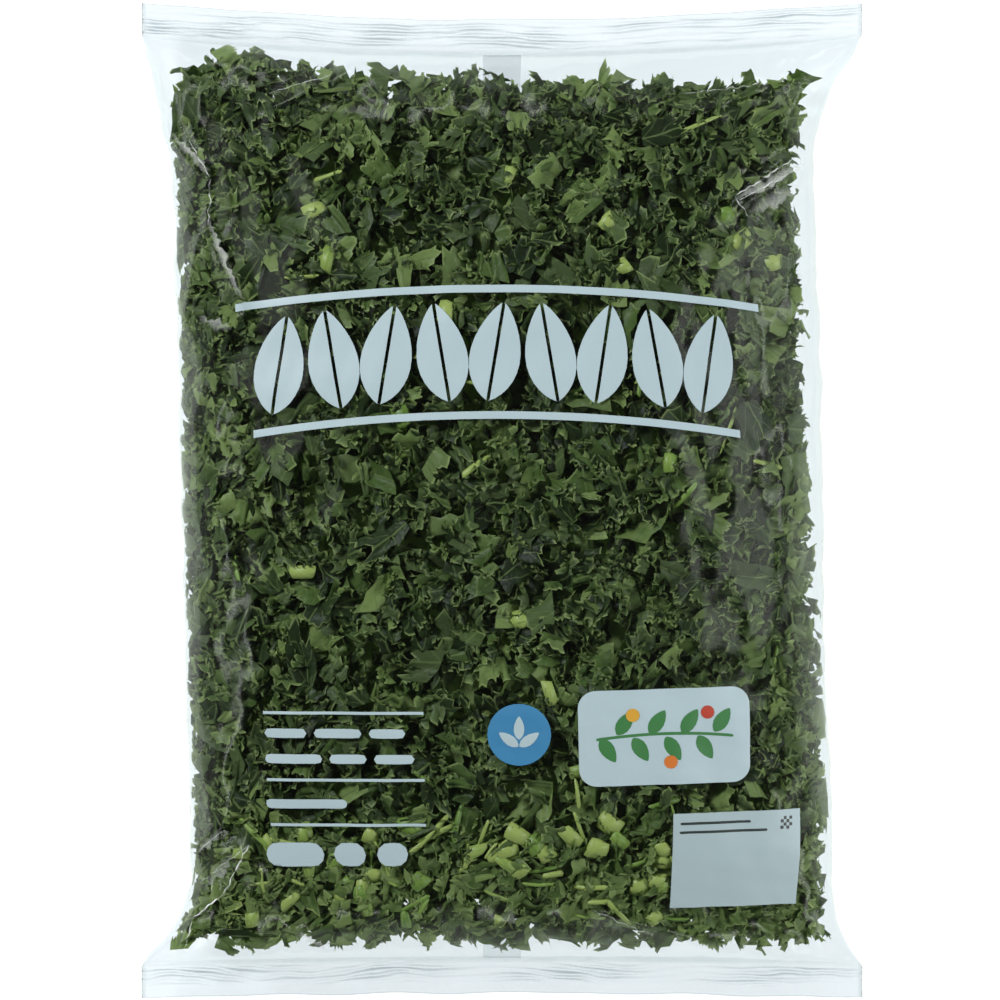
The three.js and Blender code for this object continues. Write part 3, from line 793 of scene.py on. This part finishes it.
def painted_fold_highlight(rng, start, end, half_width, opacity):
    """A strip of painted highlight on the film between two places. It tapers as the root of one less the
    square of the way along, and wanders. A fine one fades here and there, and a wide one to one side and to
    both ends. Gives its points and how opaque each is."""
    across, run = on_front(*np.transpose([start, end]))
    length = np.hypot(across[1] - across[0], run[1] - run[0])
    t, side = np.linspace(-1, 1, 41)[:, None], np.linspace(-1, 1, 5)
    taper = np.sqrt(1 - t**2) + 0.02
    wide = half_width > 1
    off = side * half_width * taper * (0.7 + 0.3 * ripples(rng, t * length, 0, 3, 12))
    off = off + 0.35 * ripples(rng, t * length, 0, 5, 16) * taper
    beside, ahead = turned(t * length / 2, off, np.arctan2(run[1] - run[0], across[1] - across[0]))
    above_film = 0.12 if wide else 0.2
    points = in_bag(across.mean() + beside, run.mean() + ahead, np.full(off.shape, -above_film))
    if wide:
        fading = (1 + side) / 2 * (1 - t**2)
    else:
        fading = 0.65 + 0.5 * ripples(rng, t * length, 0, 4, 14) + 0 * side
    return points, np.clip(opacity * fading, 0, 1)


# Painted highlight on the folds: a partly opaque matte white over the clear film, standing for the light that
# the folds reflect.
fold_highlight_film, tree = new_material("fold_highlight_polypropylene")
painted_white_highlight = add(tree, "BsdfPrincipled", {"Base Color": colour("#fafffc"), "Roughness": 0.4})
see_through = add(tree, "BsdfTransparent")
opacity = add(tree, "Attribute", attribute_name="opacity")
partly_highlighted = add(tree, "MixShader", {"Fac": opacity.outputs["Fac"], 1: see_through, 2: painted_white_highlight})
add(tree, "OutputMaterial", {"Surface": partly_highlighted})
rng = np.random.default_rng(5)
fold_highlight_grids, opacities = (np.stack(part) for part in zip(*(painted_fold_highlight(rng, *line) for line in fold_highlight_lines)))
fold_highlight_thickness = 0.06
fold_highlight_points, fold_highlight_faces, _, _, order = two_faced(fold_highlight_grids, fold_highlight_thickness)
fold_highlights = mesh_object("fold_highlight_lines", fold_highlight_points, fold_highlight_faces.tolist(), fold_highlight_film)
on_points = opacities.reshape(len(fold_highlight_lines), -1)[:, order].ravel()
fold_highlights.data.attributes.new("opacity", "FLOAT", "POINT").data.foreach_set("value", on_points)
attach(fold_highlights, "root")


# The print is ink on the film's front. Plain leaf shapes stand between two arched rules, with a block of
# rules and bars at the left, a round spot, a label and a patch for the date. It bends with the film.
ink_above_film = 0.16
ink_thickness = 0.05
mottle_size = 0.66667


def printed(centre, length, half_width, heading=0.0, bend=0.0, inner=None, cell=2.0, coat=1):
    """A flat shape on the film, in millimetres on the flat sheet. It reaches to both sides of its long axis
    by a half width, a function of the place from -1 to 1. With an inner half width it is only the part
    beyond that, on the inner's own side. Bend is how far a parabola takes the axis's middle off its line.
    Coat counts the layers of ink."""
    rows = max(7, int(length / cell))
    t = -np.cos(np.linspace(0, np.pi, rows))
    reach = np.maximum(half_width(t), 0.02)
    columns = max(4, int(2 * reach.max() / cell))
    s = np.linspace(-1, 1, columns)[None, :] * reach[:, None]
    if inner is not None:
        s = np.sign(inner) * mix(np.minimum(abs(inner), reach * 0.98)[:, None], reach[:, None],
                                 np.linspace(0, 1, columns)[None, :])
    beside, ahead = turned(t[:, None] * length / 2, s + bend * (1 - t[:, None] ** 2), heading)
    depth = np.full(s.shape, -ink_above_film * (0.5 + 0.5 * coat))
    return in_bag(centre[0] + beside, centre[1] + ahead, depth)


def oblong(length, half_width, corner=0.0):
    """An oblong's half width at a place from -1 to 1. Its corners have a radius: there it is drawn in by
    one less the root of one less the square of the way through the corner."""
    corner = max(corner, 1e-6)
    past = lambda t: np.clip((np.abs(t) * length / 2 - length / 2 + corner) / corner, 0, 1)
    return lambda t: half_width - corner * (1 - np.sqrt(1 - past(t) ** 2))


def bar(left, right, run, thickness, ends=1.0, bend=0.0, tilt=0.0, coat=1):
    """A bar between a left and a right end, both half circles where ends is 1 and square where it is 0."""
    outline = oblong(right - left, thickness / 2, ends * thickness / 2)
    return printed(((left + right) / 2, run), right - left, outline, tilt, bend, coat=coat)


def add_print(name, shapes, material):
    """One object from all the shapes of one ink, each a closed sheet with hard rims."""
    points, faces, rims, total = [], [], [], 0
    for shape in shapes:
        some, some_faces, rim, *_ = two_faced(shape[None], ink_thickness)
        points.append(some)
        faces.append(some_faces + total)
        rims.append(rim)
        total += len(some)
    piece = mesh_object(name, np.concatenate(points), np.concatenate(faces).tolist(), material)
    harden(piece.data, np.concatenate(rims))
    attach(piece, "root")


def ink(name, hexa):
    """Flexographic ink: a thin even coat with a satin surface, and a faint mottle from the print roller."""
    material, tree = new_material(name)
    place = add(tree, "TexCoord")
    mottle = add(tree, "TexNoise", {
        "Vector": place.outputs["Object"], "Scale": METRE / mottle_size, "Detail": 2.0})
    light = tuple(min(1.0, c * 1.08) for c in colour(hexa)[:3]) + (1.0,)
    tint = add(tree, "Mix", {
        "Factor": mottle.outputs["Fac"], 6: colour(hexa), 7: light}, data_type="RGBA")
    coat = add(tree, "BsdfPrincipled", {"Base Color": tint.outputs[2], "Roughness": 0.5})
    add(tree, "OutputMaterial", {"Surface": coat})
    return material


pale_ink = ink("pale_flexographic_ink", "#b6ccd2")
blue_ink = ink("blue_flexographic_ink", "#3f86b4")
dark_ink = ink("dark_flexographic_ink", "#2f3a38")
patch_ink = ink("date_patch_ink", "#adc2c6")

# Half widths at a place from -1 to 1: a leaf that is widest below its middle, and a disc.
leaf_outline = lambda width: lambda t: width / 2 * (1 - t**2) ** 0.75 * (1 - 0.22 * t)
disc = lambda radius: lambda t: radius * np.sqrt(1 - t**2)

rule_thickness = 2.6
arch = 6.4
leaf_count, leaf_height, leaf_width, half_vein = 9, 34.0, 16.675, 0.55
pale = [bar(-89.2, 88.0, 65.4, rule_thickness, 0.0, arch), bar(-83.1, 80.2, 22.4, rule_thickness, 0.0, arch)]
for i, x in enumerate(np.linspace(-74.0, 70.0, leaf_count)):
    middle = (x, 44.0 + arch * (1 - (x / 88) ** 2))
    heading = np.pi / 2 + (0.16 if i % 2 else -0.16)
    pale += [printed(middle, leaf_height, leaf_outline(leaf_width), heading, inner=side * half_vein)
             for side in (-1, 1)]
pale += [bar(-82.0, -26.7, run, 1.0, 0.0) for run in (-72.4, -95.4, -111.0)]
bar_rows = {
    -79.4: (3.2, ((-82, -67), (-64.5, -48), (-45.5, -33))),
    -88.2: (3.2, ((-82.3, -62), (-59.5, -46.5), (-44, -30))),
    -103.7: (3.2, ((-83, -54),)),
    -121.4: (8.5, ((-84.5, -63.5), (-60.0, -48.5), (-44.5, -33.5))),
}
for run, (thickness, ends) in bar_rows.items():
    pale += [bar(left, right, run, thickness) for left, right in ends]
add_print("print_pale", pale, pale_ink)

spot, spot_radius = (5.6, -79.7), 10.6
add_print("print_spot", [printed(spot, 2 * spot_radius, disc(spot_radius), cell=1.0)], blue_ink)
spot_leaves = ((0, 2.4, 1.57), (-3.4, -1.6, 2.5), (3.4, -1.6, 0.64))
add_print("print_spot_leaves", [
    printed((spot[0] + dx, spot[1] + dy), 8.0, leaf_outline(3.52), heading, cell=1.0, coat=2)
    for dx, dy, heading in spot_leaves], pale_ink)

label = (54.1, -80.5)
label_length, label_width, label_corner, label_tilt = 57.6, 32.8, 6.0, 0.03
label_outline = oblong(label_length, label_width / 2, label_corner)
add_print("print_label", [printed(label, label_length, label_outline, label_tilt, cell=1.6)], pale_ink)
sprigs = [bar(label[0] - 23, label[0] + 23, label[1] - 0.3, 1.0, tilt=label_tilt, bend=1.5, coat=2)]
for i, along in enumerate(np.linspace(-19, 19, 8)):
    side = 1 if i % 2 else -1
    at = (label[0] + along, label[1] + side * 4.6 + label_tilt * along + 0.6)
    sprigs.append(printed(at, 9.5, leaf_outline(4.84), side * 1.0, cell=1.0, coat=2))
add_print("print_label_sprig", sprigs, ink("green_flexographic_ink", "#3f7d46"))
berries = {"ochre": ("#d9a63a", -11, 7.5), "orange": ("#d67a35", 2, -8.5), "red": ("#b8432f", 14, 8.5)}
for name, (hexa, along, off) in berries.items():
    at = (label[0] + along, label[1] + off)
    add_print(f"print_label_{name}_berry", [printed(at, 4.6, disc(2.3), cell=0.7, coat=3)],
              ink(f"{name}_flexographic_ink", hexa))

patch, patch_length, patch_half_width, patch_tilt = (80.6, -123.3), 45.0, 16.9, 0.03
patch_outline = oblong(patch_length, patch_half_width)
add_print("print_date_patch", [printed(patch, patch_length, patch_outline, patch_tilt, cell=1.8)], patch_ink)
lines = ((84.5, -110.2), (90.5, -113.2))
marks = [bar(60.0, right, run, 0.9, tilt=patch_tilt, coat=2) for right, run in lines]
checker, checker_cell = (95.6, -112.0), 1.1
marks += [printed((checker[0] + i * checker_cell, checker[1] + j * checker_cell), checker_cell,
                  oblong(checker_cell, checker_cell / 2), patch_tilt, cell=0.5, coat=2)
          for i in range(4) for j in range(4) if (i + j) % 2 == 0]
add_print("print_date_marks", marks, dark_ink)


# The studio: a lit white table, so that the ground is pure white, under a tent of soft light that is bright
# at its sides and dark overhead. The film's middle stays clear, and its steep sides and folds shine. The
# key light is polarised, as for a pack shot, so it models the leaves and leaves no glare on the film.
table_half, table_level = 4000.0, -0.1
corners = ((-1, -1), (1, -1), (1, 1), (-1, 1))
table_points = [(i * table_half, j * table_half, table_level) for i, j in corners]

# Opal acrylic sheet, cast and lit from below: an even glow with a faint satin surface.
white, tree = new_material("opal_acrylic_light_table")
paint = add(tree, "BsdfPrincipled", {
    "Base Color": colour("#a8aaab"), "Roughness": 0.6, "Emission Color": colour("#ffffff"),
    "Emission Strength": 0.98})
add(tree, "OutputMaterial", {"Surface": paint})
table = mesh_object("table", table_points, [(0, 1, 2, 3)], white)

world = bpy.data.worlds.new("light_tent")
scene.world = world
world.use_nodes = True
tree = world.node_tree
tree.nodes.clear()
direction = add(tree, "TexCoord")
towards = add(tree, "SeparateXYZ", {0: direction.outputs["Generated"]})
height = add(tree, "MapRange", {
    "Value": towards.outputs["Z"], "From Min": 0.2, "From Max": 0.52, "To Min": 0.85, "To Max": 0.04})
side = add(tree, "MapRange", {
    "Value": towards.outputs["X"], "From Min": -0.8, "From Max": 0.8, "To Min": 0.38, "To Max": 1.1})
strength = add(tree, "Math", {0: height, 1: side}, operation="MULTIPLY")
tent = add(tree, "Background", {"Color": colour("#ffffff"), "Strength": strength})
add(tree, "OutputWorld", {"Surface": tent})

under_the_film = bpy.data.collections.new("under_the_film")
film_alone = bpy.data.collections.new("film_alone")
for piece in scene.collection.objects:
    if piece.type == "MESH":
        (film_alone if piece.name.startswith("film") else under_the_film).objects.link(piece)
# Each soft box has its place, its size, its power and the pieces that it lights.
soft_boxes = {
    "polarised_key": ((-1.2, 0.9, 1.5), 0.4, 34.0, under_the_film),
    "polarised_fill": ((1.4, -0.2, 0.9), 0.9, 13.0, under_the_film),
    "left_soft_box": ((-0.85, 0.35, 1.2), 0.55, 0.45, film_alone),
    "right_soft_box": ((0.95, 0.15, 1.2), 0.6, 0.9, film_alone),
}
strip_count, strip_tilt, strip_away = 8, np.radians(56), 1.7
for i in range(strip_count):
    turn = 2 * np.pi * (i + 0.3) / strip_count
    out, up = strip_away * np.sin(strip_tilt), strip_away * np.cos(strip_tilt)
    place = (out * np.cos(turn), out * np.sin(turn), up)
    soft_boxes[f"strip_light_{i + 1}"] = (place, (0.6, 0.1), 0.5, film_alone)
for name, (place, size, power, lit) in soft_boxes.items():
    light = bpy.data.objects.new(name, bpy.data.lights.new(name, "AREA"))
    light.data.shape = "RECTANGLE"
    light.data.size, light.data.size_y = np.broadcast_to(size, 2).tolist()
    light.data.energy, light.location = power, place
    light.rotation_euler = (-light.location).to_track_quat("-Z", "Y").to_euler()
    light.visible_camera = False
    light.light_linking.receiver_collection = lit
    scene.collection.objects.link(light)


bpy.context.view_layer.update()
